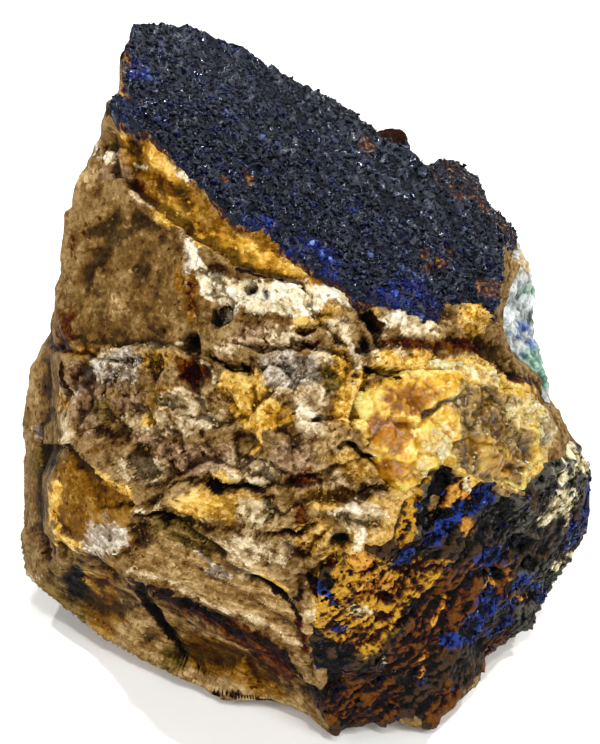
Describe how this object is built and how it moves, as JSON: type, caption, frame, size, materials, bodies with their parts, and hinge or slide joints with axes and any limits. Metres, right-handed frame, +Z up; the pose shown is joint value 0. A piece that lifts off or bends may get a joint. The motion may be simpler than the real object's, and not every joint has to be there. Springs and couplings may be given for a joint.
{
  "type": "azurite specimen",
  "caption": "Broken block of brown matrix with a slanting bed of azurite crystals, a honey-coloured seam and pitted crusts, standing on a flat cut base.",
  "frame": {"origin": "middle of the specimen's bounding box, on the surface that it rests on", "axes": "+Z up; the broken front faces -Y, and the azurite bed slopes down towards -Y and +X"},
  "size_m": [0.0588, 0.0528, 0.0574],
  "materials": {
    "host_rock": "matte",
    "azurite": "gloss",
    "honey_crystal": "satin",
    "goethite": "satin",
    "malachite": "matte"
  },
  "bodies": {
    "root": {"host_rock": "host_rock", "azurite_druse": "azurite", "honey_crystals": "honey_crystal", "goethite_crust": "goethite", "malachite_crust": "malachite"}
  },
  "joints": []
}
